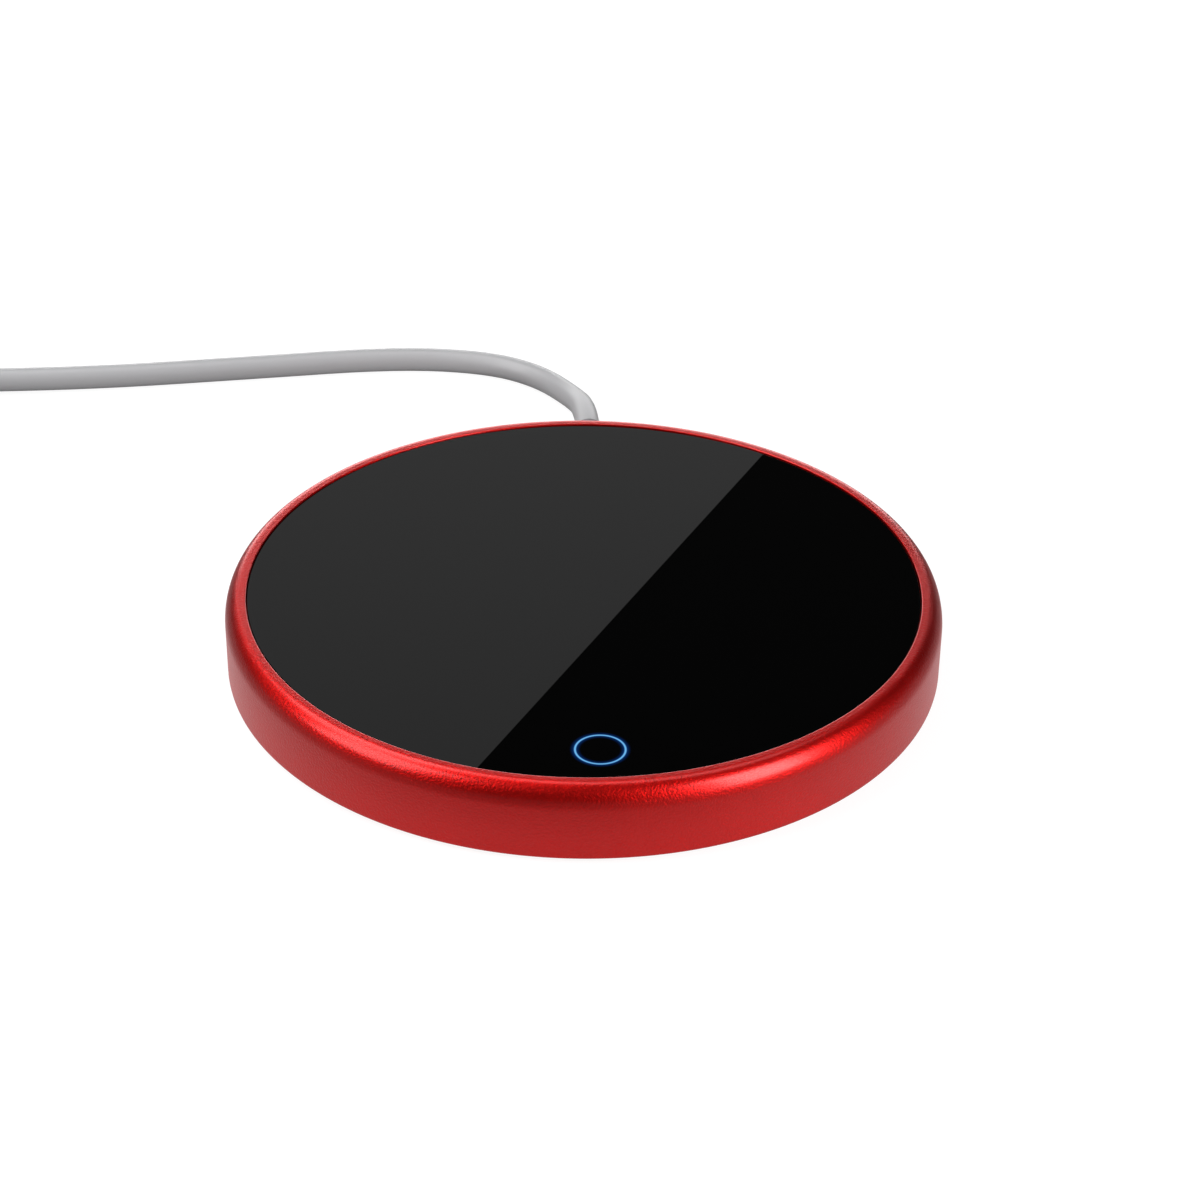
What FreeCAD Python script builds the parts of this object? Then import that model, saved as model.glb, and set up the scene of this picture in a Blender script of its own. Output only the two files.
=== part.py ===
"""Electric mug warmer: a red aluminium ring housing with a black glass top and a lit touch ring.

Millimetres, +Z up. The origin is the centre of the disc on the surface that it stands on.
The lit touch ring is at the front, on -Y. The cable leaves at the back, along +Y.
"""

import FreeCAD
import Part
import math
import os

Vector = FreeCAD.Vector
UP = Vector(0, 0, 1)
ALONG_X = Vector(1, 0, 0)
ALONG_Y = Vector(0, 1, 0)

# Housing ring
body_diameter = 110.0
housing_height = 11.8
foot_lift = 1.0
shoulder_height = 3.6
shoulder_width = 2.5
lip_land = 0.8
lip_chamfer = 0.15
bottom_chamfer = 0.4
wall_thickness = 3.0
lug_radius = 3.0
lug_overhang = 2.1
lug_angles = (45, 135, 225, 315)
hole_overrun = 1.0

# Glass top and what is bonded under it
glass_thickness = 2.0
glass_recess = 0.25
glass_side_gap = 0.2
glass_chamfer = 0.25
glass_ledge_width = 2.1
print_thickness = 0.1
print_edge_gap = 0.2
bond_thickness = 0.15
bond_edge_gap = 0.3

# Lit touch ring, near the front edge
key_from_lip = 7.1
key_line_radius = 3.57
key_line_width = 0.4

# Heating stack
spreader_to_key = 7.6
spreader_thickness = 1.0
heater_edge_margin = 1.0
heater_thickness = 0.25
pad_overhang = 1.0
pad_thickness = 1.35

# Inner frame
frame_thickness = 1.2
frame_gap = 0.2
frame_post_radius = 2.4
frame_post_inset = 6.0
frame_post_angles = (20, 160, 200, 340)
opening_gap = 0.3

# Base cover and feet
cover_thickness = 1.4
cover_seat_width = 1.0
cover_gap = 0.2
cover_web = 0.6
vent_count = 12
vent_length = 9.0
vent_width = 1.8
vent_corner_share = 0.45
vent_inset = 28.0
foot_diameter = 9.0
foot_inset = 11.0
foot_recess = 0.4
foot_round = 0.3
foot_angles = (45, 135, 225, 315)

# Screws
screw_radius = 0.8
screw_hole_gap = 0.3
screw_head_radius = 1.7
screw_head_height = 0.7
screw_tip_gap = 0.4
slot_width = 0.4
slot_depth = 0.35

# Touch board and its lamps
touch_board_width = 11.0
touch_board_thickness = 0.8
touch_board_front = 4.2
touch_board_back = 5.3
lamp_count = 6
lamp_size = 0.8
lamp_height = 0.6
lamp_gap = 0.1
guide_wall = 0.9
blocker_gap = 0.1
blocker_wall = 0.7
touch_pad_radius = 2.2
flex_width = 5.0
flex_thickness = 0.2
connector_height = 1.2
connector_depth = 3.0
connector_wall = 0.6

# Control board
board_width = 44.0
board_length = 44.0
board_front_inset = 10.0
board_thickness = 1.0
board_lift = 1.0
board_corner = 2.0
board_post_radius = 2.0
board_post_inset = 3.0

# Components on the control board: x, and y from its front edge
controller_place = (-4.0, 20.0)
controller_size = (5.0, 5.0, 0.9)
transistor_x = 12.0
transistor_ys = (14.0, 22.0)
transistor_size = (6.5, 6.0, 1.5)
inductor_place = (-14.0, 14.0)
inductor_size = (6.0, 6.0, 1.9)
inductor_corner = 1.2
capacitor_xs = (-16.0, -11.0, -6.0)
capacitor_y = 26.5
capacitor_size = (3.2, 2.5, 1.7)
resistor_place = (2.5, 16.0)
resistor_columns = 2
resistor_rows = 4
resistor_step = 2.4
resistor_size = (1.6, 0.8, 0.45)
terminal_size = (6.4, 5.0, 1.9)
terminal_set_back = 1.0

# Thermistor and heater leads
bead_radius = 0.65
bead_length = 2.4
thermistor_wire_radius = 0.2
thermistor_wire_spacing = 1.4
thermistor_set_back = 4.0
heater_lead_radius = 0.4
heater_lead_inset = 6.0
heater_lead_spacing = 4.0
heater_lead_set_back = 12.0

# Thermostat, a resettable cut-out pressed on the heater film
thermostat_x = -12.0
thermostat_set_back = 4.0
thermostat_width = 8.0
thermostat_length = 18.0
thermostat_height = 3.6
thermostat_wall = 0.5
thermostat_base_length = 2.0
terminal_thickness = 0.2
terminal_width = 3.2
blade_length = 11.1
blade_thickness = 0.2
blade_width = 3.2
blade_root_gap = 0.2
contact_radius = 0.8
contact_height = 0.4
contact_rest_gap = 0.05
contact_inset = 1.0
strip_lift = 0.35
blade_carrier_length = 1.4
thermostat_wire_rise = 0.3
thermostat_wire_radius = 0.45
thermostat_wire_spacing = 3.0
thermostat_wire_landing = 2.0

# Cable, strain relief and clamp
cord_diameter = 4.2
cord_arc_share = 0.45
cord_straight_out = 8.2
cord_x = 4.0
cord_z = 5.2
boot_wall_radius = 3.5
boot_neck_radius = 2.7
boot_tip_radius = 2.7
boot_length = 8.0
boot_neck_gap = 0.1
boot_bore_gap = 0.05
boot_flange_width = 8.6
boot_flange_height = 4.8
boot_flange_thickness = 1.2
boot_groove_count = 3
boot_groove_width = 0.7
boot_groove_depth = 0.35
boot_tip_round = 0.4
jacket_length_inside = 12.0
core_radius = 0.6
core_spacing = 2.0
clamp_width = 14.0
clamp_length = 4.0
clamp_from_end = 2.0
clamp_ear_thickness = 1.2
clamp_wall = 0.4
clamp_screw_spacing = 10.4

# Coil of the length that is put away
coil_inner_radius = 17.4
coil_step = 4.75
coil_turns_in = 3.25
coil_turns_out = 3.0
coil_climb_turns = 0.5
coil_arcs_per_turn = 4
coil_heading_step = 0.002
coil_checks_per_turn = 48
coil_x = -136.0
coil_y = 57.6
tie_width = 6.0
tie_thickness = 0.5
tie_gap = 0.1
tie_angle = -90.0

# Plug
plug_width = 15.0
plug_height = 8.0
plug_length = 24.0
plug_boot_length = 8.0
plug_boot_radius = 3.2
plug_boot_wall = 0.5
plug_corner = 2.0
shell_width = 12.0
shell_height = 4.5
shell_length = 12.0
shell_wall = 0.3
shell_window = 2.2
shell_window_spacing = 5.0
shell_window_place = 6.0
tongue_thickness = 1.9
tongue_set_back = 1.2
contact_count = 4
contact_pitch = 2.3
contact_width = 1.1
contact_thickness = 0.2

# Levels and radii that follow from the sizes above
body_radius = body_diameter / 2
lip_top = foot_lift + housing_height
glass_top = lip_top - glass_recess
glass_bottom = glass_top - glass_thickness
print_bottom = glass_bottom - print_thickness
ledge_top = print_bottom - bond_thickness
heater_top = ledge_top - spreader_thickness
heater_bottom = heater_top - heater_thickness
frame_top = heater_bottom - pad_thickness
frame_bottom = frame_top - frame_thickness
cover_bottom = foot_lift
cover_top = cover_bottom + cover_thickness
board_bottom = cover_top + board_lift
board_top = board_bottom + board_thickness
touch_board_top = frame_top + touch_board_thickness

recess_radius = body_radius - shoulder_width - lip_land
key_distance = recess_radius - key_from_lip
glass_radius = recess_radius - glass_side_gap
ledge_radius = recess_radius - glass_ledge_width
inner_radius = body_radius - wall_thickness
cover_bore_radius = inner_radius + cover_seat_width
cover_radius = cover_bore_radius - cover_gap
frame_radius = inner_radius - frame_gap
lug_pitch = ledge_radius - lug_overhang
frame_post_pitch = inner_radius - frame_post_inset
foot_pitch = inner_radius - foot_inset
vent_pitch = inner_radius - vent_inset
jacket_inner_end = inner_radius - jacket_length_inside
board_front = inner_radius - board_front_inset
spreader_radius = key_distance - spreader_to_key
heater_radius = spreader_radius - heater_edge_margin
pad_radius = spreader_radius + pad_overhang
cord_radius = cord_diameter / 2
cord_exit_y = body_radius + boot_length
clamp_y = jacket_inner_end + clamp_from_end + clamp_length / 2
wall_inside_y = math.sqrt(inner_radius ** 2 - (cord_x + boot_flange_width / 2) ** 2)
boot_flange_y = wall_inside_y - boot_flange_thickness
cover_screw_seat = cover_top - cover_web
board_back = board_length - board_front
board_post_x = board_width / 2 - board_post_inset
board_post_places = [(-board_post_x, board_post_inset - board_front)]
board_post_places.append((board_post_x, board_post_inset - board_front))
board_post_places.append((-board_post_x, board_back - board_post_inset))
board_post_places.append((board_post_x, board_back - board_post_inset))
touch_board_back_y = key_distance - touch_board_back
flex_y = -touch_board_back_y + flex_thickness / 2
terminal_face = board_back - terminal_set_back
thermistor_y = terminal_face - terminal_size[1] - thermistor_set_back
heater_lead_x = board_width / 2 - heater_lead_inset
heater_lead_y = board_back - heater_lead_set_back
thermostat_front = board_back + thermostat_set_back
case_bottom = heater_bottom - thermostat_height
base_back = thermostat_front + thermostat_base_length
thermostat_wire_z = case_bottom + thermostat_wall + thermostat_wire_radius + thermostat_wire_rise
fixed_strip_bottom = case_bottom + thermostat_wall + strip_lift
blade_bottom = fixed_strip_bottom + terminal_thickness + 2 * contact_height + contact_rest_gap
blade_root = base_back + blade_carrier_length + blade_root_gap
coil_tie_lift = tie_thickness + tie_gap
shell_start = plug_boot_length + plug_length

# Free stretch of the cable, from the boot to the coil, chosen by hand along the photographed curve
cord_route = [
    (cord_x, cord_exit_y, cord_z),
    (cord_x, cord_exit_y + cord_straight_out, cord_z),
    (2.1, 81.2, 2.5),
    (-3.6, 90.3, 2.1),
    (-12.8, 96.0, 2.1),
    (-29.5, 98.4, 2.1),
    (-56.0, 95.4, 2.1),
    (-84.0, 92.4, 2.1),
    (-111.0, 91.0, 2.7),
    (coil_x, coil_y + coil_inner_radius + coil_step * coil_turns_in, coil_tie_lift + cord_radius),
]

# From the coil's last turn to the plug, also chosen by hand
tail_x = coil_x - coil_inner_radius - coil_step * coil_turns_out
tail_z = coil_tie_lift + cord_radius + coil_step
tail_route = [
    (tail_x, coil_y, tail_z),
    (tail_x, coil_y - 14.0, tail_z),
    (tail_x + 0.6, coil_y - 30.0, 4.6),
    (tail_x + 3.2, coil_y - 46.0, plug_height / 2),
    (tail_x + 5.6, coil_y - 58.0, plug_height / 2),
]
plug_run = [b - a for a, b in zip(tail_route[-2], tail_route[-1])]
plug_heading = math.degrees(math.atan2(plug_run[1], plug_run[0]))


def disc(radius, bottom, top, x=0.0, y=0.0):
    return Part.makeCylinder(radius, top - bottom, Vector(x, y, bottom))


def annulus(inner, outer, bottom, top, x=0.0, y=0.0):
    return disc(outer, bottom, top, x, y).cut(disc(inner, bottom, top, x, y))


def block(low, high):
    size = [b - a for a, b in zip(low, high)]
    return Part.makeBox(size[0], size[1], size[2], Vector(*low))


def slab(x, y, width, length, bottom, top):
    """A block centred on x and y."""
    return block((x - width / 2, y - length / 2, bottom), (x + width / 2, y + length / 2, top))


def rod(radius, x, z, start, end):
    """A round bar along Y."""
    return Part.makeCylinder(radius, end - start, Vector(x, start, z), ALONG_Y)


def on_circle(radius, degrees):
    turn = math.radians(degrees)
    return radius * math.cos(turn), radius * math.sin(turn)


def joined(solids):
    whole = solids[0]
    for solid in solids[1:]:
        whole = whole.fuse(solid)
    return whole.removeSplitter()


def without(solid, tools):
    for tool in tools:
        solid = solid.cut(tool)
    return solid


def lines(points):
    return [Part.makeLine(a, b) for a, b in zip(points, points[1:])]


def turned(edges):
    face = Part.Face(Part.Wire(edges))
    return face.revolve(Vector(0, 0, 0), UP, 360)


def rounded(solid, heading, radius):
    """Rounds the straight edges that run along a direction."""
    edges = []
    for edge in solid.Edges:
        run = edge.Vertexes[-1].Point.sub(edge.Vertexes[0].Point)
        if run.Length > 0 and run.cross(heading).Length < 1e-6 * run.Length:
            edges.append(edge)
    return solid.makeFillet(radius, edges)


def screw(x, y, head_bottom, tip):
    """Pan head below, plain shank pointing up, cross slot in the head."""
    head_top = head_bottom + screw_head_height
    head = disc(screw_head_radius, head_bottom, head_top, x, y)
    shank = disc(screw_radius, head_top, tip, x, y)
    slot_top = head_bottom + slot_depth
    slots = [
        slab(x, y, screw_head_radius, slot_width, head_bottom, slot_top),
        slab(x, y, slot_width, screw_head_radius, head_bottom, slot_top),
    ]
    return without(joined([head, shank]), slots)


def swept(path, radius, start, heading):
    circle = Part.makeCircle(radius, start, heading)
    return path.makePipeShell([Part.Wire([circle])], True, False)


def rounded_path(points):
    """Straight runs joined by tangent arcs, each as large as its two runs allow."""
    edges = []
    radii = []
    last = points[0]
    for before, corner, after in zip(points, points[1:], points[2:]):
        into = corner.sub(before)
        out = after.sub(corner)
        half_turn = into.getAngle(out) / 2
        cut = cord_arc_share * min(into.Length, out.Length)
        radius = cut / math.tan(half_turn)
        into.normalize()
        out.normalize()
        start = corner.sub(into * cut)
        end = corner.add(out * cut)
        inward = out.sub(into)
        inward.normalize()
        middle = corner.add(inward * (radius / math.cos(half_turn) - radius))
        edges.append(Part.makeLine(last, start))
        edges.append(Part.Arc(start, middle, end).toShape())
        radii.append(radius)
        last = end
    edges.append(Part.makeLine(last, points[-1]))
    return Part.Wire(edges), radii


def tube(name, points, radius):
    points = [Vector(*p) for p in points]
    path, radii = rounded_path(points)
    solid = swept(path, radius, points[0], points[1].sub(points[0]))
    share = solid.Volume / (math.pi * radius * radius * path.Length)
    print(name, "length", round(path.Length, 1), "bend radii", [round(r, 1) for r in radii])
    print(name, "volume over section times length", round(share, 4))
    return solid


def shoulder_edge(side, crown, centre):
    """A quarter of an ellipse from the wall up to the lip."""
    if shoulder_height > shoulder_width:
        ellipse = Part.Ellipse(crown, side, centre)
    elif shoulder_height < shoulder_width:
        ellipse = Part.Ellipse(side, crown, centre)
    else:
        slant = shoulder_width * math.sqrt(0.5)
        return Part.Arc(side, centre.add(Vector(slant, 0, slant)), crown).toShape()
    return Part.ArcOfEllipse(ellipse, 0, math.pi / 2).toShape()


def make_housing_ring():
    centre = Vector(body_radius - shoulder_width, 0, lip_top - shoulder_height)
    crown = Vector(centre.x, 0, lip_top)
    side = Vector(body_radius, 0, centre.z)
    outline = [
        crown,
        Vector(recess_radius + lip_chamfer, 0, lip_top),
        Vector(recess_radius, 0, lip_top - lip_chamfer),
        Vector(recess_radius, 0, ledge_top),
        Vector(ledge_radius, 0, ledge_top),
        Vector(ledge_radius, 0, frame_top),
        Vector(inner_radius, 0, frame_top),
        Vector(inner_radius, 0, cover_top),
        Vector(cover_bore_radius, 0, cover_top),
        Vector(cover_bore_radius, 0, cover_bottom),
        Vector(body_radius - bottom_chamfer, 0, cover_bottom),
        Vector(body_radius, 0, cover_bottom + bottom_chamfer),
        side,
    ]
    ring = turned(lines(outline) + [shoulder_edge(side, crown, centre)])
    lugs = []
    holes = [rod(boot_neck_radius + boot_neck_gap, cord_x, cord_z, wall_inside_y, body_radius + hole_overrun)]
    for angle in lug_angles:
        x, y = on_circle(lug_pitch, angle)
        lugs.append(disc(lug_radius, frame_top, ledge_top, x, y))
        holes.append(disc(screw_radius, frame_top, ledge_top - screw_tip_gap, x, y))
    return without(joined([ring] + lugs), holes)


def make_glass_plate():
    outline = [
        Vector(0, 0, glass_bottom),
        Vector(glass_radius, 0, glass_bottom),
        Vector(glass_radius, 0, glass_top - glass_chamfer),
        Vector(glass_radius - glass_chamfer, 0, glass_top),
        Vector(0, 0, glass_top),
        Vector(0, 0, glass_bottom),
    ]
    return turned(lines(outline))


def key_ring(bottom, top):
    inner = key_line_radius - key_line_width / 2
    return annulus(inner, inner + key_line_width, bottom, top, 0, -key_distance)


def make_glass_print():
    sheet = disc(glass_radius - print_edge_gap, print_bottom, glass_bottom)
    return sheet.cut(key_ring(print_bottom, glass_bottom))


def make_ring_window():
    return key_ring(print_bottom, glass_bottom)


def make_glass_adhesive():
    inner = ledge_radius + bond_edge_gap
    outer = recess_radius - bond_edge_gap
    return annulus(inner, outer, ledge_top, print_bottom)


def make_thermal_bond():
    return disc(spreader_radius, ledge_top, print_bottom)


def make_heat_spreader():
    return disc(spreader_radius, heater_top, ledge_top)


def make_heater_film():
    return disc(heater_radius, heater_bottom, heater_top)


def stack_openings(bottom, top):
    """The ways through pad and frame for the thermostat, the thermistor and the heater leads."""
    case_middle = thermostat_front + thermostat_length / 2
    wide = thermostat_width + 2 * opening_gap
    long = thermostat_length + 2 * opening_gap
    lead_room = 2 * (heater_lead_radius + opening_gap)
    bead_room = 2 * (bead_radius + opening_gap)
    return [
        slab(thermostat_x, case_middle, wide, long, bottom, top),
        slab(heater_lead_x, heater_lead_y, lead_room, heater_lead_spacing + lead_room, bottom, top),
        slab(0, thermistor_y, bead_length + bead_room, bead_room, bottom, top),
    ]


def lead_channel():
    """The way along the frame's underside for the thermostat's leads."""
    room = thermostat_wire_radius + opening_gap
    half = thermostat_wire_spacing / 2 + room
    low = (thermostat_x - half, board_back - thermostat_wire_landing - room, frame_bottom)
    return block(low, (thermostat_x + half, thermostat_front, thermostat_wire_z + room))


def make_insulation_pad():
    return without(disc(pad_radius, frame_top, heater_bottom), stack_openings(frame_top, heater_bottom))


def notch(half, start):
    """A slot in the frame's rim over the cable."""
    return block((cord_x - half, start, frame_bottom), (cord_x + half, body_radius, frame_top))


def make_inner_frame():
    plate = disc(frame_radius, frame_bottom, frame_top)
    posts = []
    bores = []
    for angle in frame_post_angles:
        x, y = on_circle(frame_post_pitch, angle)
        posts.append(disc(frame_post_radius, cover_top, frame_bottom, x, y))
        bores.append(disc(screw_radius, cover_top, frame_bottom - screw_tip_gap, x, y))
    for x, y in board_post_places:
        posts.append(disc(board_post_radius, board_top, frame_bottom, x, y))
        bores.append(disc(screw_radius, board_top, frame_bottom - screw_tip_gap, x, y))
    for angle in lug_angles:
        x, y = on_circle(lug_pitch, angle)
        bores.append(disc(screw_radius + screw_hole_gap, frame_bottom, frame_top, x, y))
    for side in (-1, 1):
        x = cord_x + side * clamp_screw_spacing / 2
        bores.append(disc(screw_radius, frame_bottom, frame_top - screw_tip_gap, x, clamp_y))
    slot_half = cord_radius + opening_gap
    flange_half = boot_flange_width / 2 + opening_gap
    flex_room = 2 * opening_gap
    slots = [
        notch(slot_half, jacket_inner_end - slot_half),
        notch(flange_half, boot_flange_y - opening_gap),
        slab(0, flex_y, flex_width + flex_room, flex_thickness + flex_room, frame_bottom, frame_top),
    ]
    openings = stack_openings(frame_bottom, frame_top) + [lead_channel()]
    return without(joined([plate] + posts), bores + slots + openings)


def make_frame_screws():
    head_bottom = frame_bottom - screw_head_height
    tip = ledge_top - 2 * screw_tip_gap
    return [screw(*on_circle(lug_pitch, angle), head_bottom, tip) for angle in lug_angles]


def make_touch_board():
    length = key_distance + touch_board_front - touch_board_back_y
    middle = -(key_distance + touch_board_front + touch_board_back_y) / 2
    return slab(0, middle, touch_board_width, length, frame_top, touch_board_top)


def make_indicator_lamps():
    lamps = []
    for count in range(lamp_count):
        x, y = on_circle(key_line_radius, 360 * count / lamp_count)
        top = touch_board_top + lamp_height
        lamps.append(slab(x, y - key_distance, lamp_size, lamp_size, touch_board_top, top))
    return lamps


def make_light_guide():
    inner = key_line_radius - guide_wall / 2
    bottom = touch_board_top + lamp_height + lamp_gap
    return annulus(inner, inner + guide_wall, bottom, print_bottom, 0, -key_distance)


def make_light_blocker():
    inner = key_line_radius + guide_wall / 2 + blocker_gap
    return annulus(inner, inner + blocker_wall, touch_board_top, print_bottom, 0, -key_distance)


def make_touch_pad():
    return disc(touch_pad_radius, touch_board_top, print_bottom, 0, -key_distance)


def make_touch_connector():
    top = board_top + connector_height
    return slab(0, flex_y, flex_width + 2 * connector_wall, connector_depth, board_top, top)


def make_touch_flex():
    return slab(0, flex_y, flex_width, flex_thickness, board_top + connector_height, touch_board_top)


def make_control_board():
    middle = -board_front + board_length / 2
    board = slab(0, middle, board_width, board_length, board_bottom, board_top)
    board = rounded(board, UP, board_corner)
    hole = screw_radius + screw_hole_gap
    return without(board, [disc(hole, board_bottom, board_top, x, y) for x, y in board_post_places])


def make_board_screws():
    head_bottom = board_bottom - screw_head_height
    tip = frame_bottom - 2 * screw_tip_gap
    return [screw(x, y, head_bottom, tip) for x, y in board_post_places]


def chip(place, size):
    """A component on the control board, from its place and its width, length and height."""
    y = place[1] - board_front
    return slab(place[0], y, size[0], size[1], board_top, board_top + size[2])


def make_controller_chip():
    return chip(controller_place, controller_size)


def make_power_transistors():
    return [chip((transistor_x, y), transistor_size) for y in transistor_ys]


def make_power_inductor():
    return rounded(chip(inductor_place, inductor_size), UP, inductor_corner)


def make_filter_capacitors():
    return [chip((x, capacitor_y), capacitor_size) for x in capacitor_xs]


def make_chip_resistors():
    resistors = []
    for column in range(resistor_columns):
        for row in range(resistor_rows):
            x = resistor_place[0] + column * resistor_step
            y = resistor_place[1] + row * resistor_step
            resistors.append(chip((x, y), resistor_size))
    return resistors


def make_wire_terminals():
    return chip((cord_x, board_length - terminal_set_back - terminal_size[1] / 2), terminal_size)


def make_thermistor_bead():
    middle = Vector(-bead_length / 2, thermistor_y, heater_bottom - bead_radius)
    return Part.makeCylinder(bead_radius, bead_length, middle, ALONG_X)


def make_thermistor_leads():
    top = heater_bottom - 2 * bead_radius
    leads = []
    for side in (-1, 1):
        x = side * thermistor_wire_spacing / 2
        leads.append(disc(thermistor_wire_radius, board_top, top, x, thermistor_y))
    return leads


def make_heater_leads():
    leads = []
    for side in (-1, 1):
        y = heater_lead_y + side * heater_lead_spacing / 2
        leads.append(disc(heater_lead_radius, board_top, heater_bottom, heater_lead_x, y))
    return leads


def make_thermostat_case():
    half = thermostat_width / 2
    back = thermostat_front + thermostat_length
    wall = thermostat_wall
    low = Vector(thermostat_x - half, thermostat_front, case_bottom)
    high = Vector(thermostat_x + half, back, heater_bottom)
    inside = block(low.add(Vector(wall, 0, wall)), high.sub(Vector(wall, wall, wall)))
    return block(low, high).cut(inside)


def make_thermostat_base():
    half = thermostat_width / 2 - thermostat_wall
    low = (thermostat_x - half, thermostat_front, case_bottom + thermostat_wall)
    high = (thermostat_x + half, base_back, heater_bottom - thermostat_wall)
    plug = block(low, high)
    wires = []
    for side in (-1, 1):
        x = thermostat_x + side * thermostat_wire_spacing / 2
        wires.append(rod(thermostat_wire_radius, x, thermostat_wire_z, thermostat_front, base_back))
    return without(plug, wires)


def make_thermostat_terminals():
    """The lower strip holds the fixed contact, and the short upper one carries the blade."""
    lower_top = fixed_strip_bottom + terminal_thickness
    contact_y = blade_root + blade_length - contact_inset
    strip_end = contact_y + contact_radius
    half = terminal_width / 2
    left = thermostat_x - half
    right = thermostat_x + half
    lower = block((left, base_back, fixed_strip_bottom), (right, strip_end, lower_top))
    contact = disc(contact_radius, lower_top, lower_top + contact_height, thermostat_x, contact_y)
    carrier_low = (left, base_back, blade_bottom)
    carrier = block(carrier_low, (right, blade_root - blade_root_gap, blade_bottom + terminal_thickness))
    return [joined([lower, contact]), carrier]


def make_bimetal_blade():
    end = blade_root + blade_length
    half = blade_width / 2
    low = (thermostat_x - half, blade_root, blade_bottom)
    strip = block(low, (thermostat_x + half, end, blade_bottom + blade_thickness))
    contact_bottom = blade_bottom - contact_height
    contact = disc(contact_radius, contact_bottom, blade_bottom, thermostat_x, end - contact_inset)
    return joined([strip, contact])


def make_thermostat_leads():
    leads = []
    for side in (-1, 1):
        x = thermostat_x + side * thermostat_wire_spacing / 2
        points = [
            Vector(x, base_back, thermostat_wire_z),
            Vector(x, board_back - thermostat_wire_landing, thermostat_wire_z),
            Vector(x, board_back - thermostat_wire_landing, board_top),
        ]
        leads.append(tube("thermostat_lead", points, thermostat_wire_radius))
    return leads


def make_base_cover():
    cover = disc(cover_radius, cover_bottom, cover_top)
    cuts = []
    for count in range(vent_count):
        angle = 360 * (count + 0.5) / vent_count
        slot = slab(vent_pitch, 0, vent_length, vent_width, cover_bottom, cover_top)
        slot = rounded(slot, UP, vent_corner_share * vent_width)
        slot.rotate(Vector(0, 0, 0), UP, angle)
        cuts.append(slot)
    for angle in foot_angles:
        x, y = on_circle(foot_pitch, angle)
        cuts.append(disc(foot_diameter / 2, cover_bottom, cover_bottom + foot_recess, x, y))
    for angle in frame_post_angles:
        x, y = on_circle(frame_post_pitch, angle)
        cuts.append(disc(screw_head_radius + screw_hole_gap, cover_bottom, cover_screw_seat, x, y))
        cuts.append(disc(screw_radius + screw_hole_gap, cover_screw_seat, cover_top, x, y))
    return without(cover, cuts)


def make_cover_screws():
    head_bottom = cover_screw_seat - screw_head_height
    tip = frame_bottom - 2 * screw_tip_gap
    return [screw(*on_circle(frame_post_pitch, angle), head_bottom, tip) for angle in frame_post_angles]


def make_rubber_feet():
    feet = []
    for angle in foot_angles:
        x, y = on_circle(foot_pitch, angle)
        foot = disc(foot_diameter / 2, 0, cover_bottom + foot_recess, x, y)
        low_edges = [edge for edge in foot.Edges if edge.BoundBox.ZMax < foot_round / 2]
        feet.append(foot.makeFillet(foot_round, low_edges))
    return feet


def make_strain_relief():
    """A flange inside the wall, a neck through it and a grooved taper outside."""
    flange_low = (cord_x - boot_flange_width / 2, boot_flange_y, cord_z - boot_flange_height / 2)
    flange_high = (cord_x + boot_flange_width / 2, wall_inside_y, cord_z + boot_flange_height / 2)
    flange = block(flange_low, flange_high)
    neck = rod(boot_neck_radius, cord_x, cord_z, wall_inside_y, body_radius)
    root = Vector(cord_x, wall_inside_y, cord_z)
    taper_run = cord_exit_y - wall_inside_y
    taper = Part.makeCone(boot_wall_radius, boot_tip_radius, taper_run, root, ALONG_Y)
    taper = taper.cut(disc(body_radius, 0, lip_top))
    tip_edges = [edge for edge in taper.Edges if edge.BoundBox.YMin > cord_exit_y - boot_tip_round / 2]
    taper = taper.makeFillet(boot_tip_round, tip_edges)
    grooves = []
    step = boot_length / (boot_groove_count + 1)
    slope = (boot_wall_radius - boot_tip_radius) / taper_run
    for count in range(boot_groove_count):
        middle = body_radius + (count + 1) * step
        inner = boot_wall_radius - slope * (middle - wall_inside_y) - boot_groove_depth
        start = middle - boot_groove_width / 2
        ring = rod(boot_wall_radius, cord_x, cord_z, start, start + boot_groove_width)
        grooves.append(ring.cut(rod(inner, cord_x, cord_z, start, start + boot_groove_width)))
    bore = rod(cord_radius + boot_bore_gap, cord_x, cord_z, boot_flange_y, cord_exit_y)
    return without(joined([flange, neck, taper]), grooves + [bore])


def make_cord_entry():
    return rod(cord_radius, cord_x, cord_z, jacket_inner_end, cord_exit_y)


def make_power_wires():
    wires = []
    for side in (-1, 1):
        x = cord_x + side * core_spacing / 2
        wires.append(rod(core_radius, x, cord_z, terminal_face, jacket_inner_end))
    return wires


def make_cable_clamp():
    ear_bottom = frame_bottom - clamp_ear_thickness
    ears = slab(cord_x, clamp_y, clamp_width, clamp_length, ear_bottom, frame_bottom)
    bore_radius = cord_radius + boot_bore_gap
    hump_bottom = cord_z - cord_radius - clamp_wall
    hump = slab(cord_x, clamp_y, 2 * (bore_radius + clamp_wall), clamp_length, hump_bottom, frame_bottom)
    start = clamp_y - clamp_length / 2
    bore = rod(bore_radius, cord_x, cord_z, start, start + clamp_length)
    top_room = slab(cord_x, clamp_y, 2 * bore_radius, clamp_length, cord_z, frame_bottom)
    holes = []
    for side in (-1, 1):
        x = cord_x + side * clamp_screw_spacing / 2
        holes.append(disc(screw_radius + screw_hole_gap, ear_bottom, frame_bottom, x, clamp_y))
    return without(joined([ears, hump]), [bore, top_room] + holes)


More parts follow.
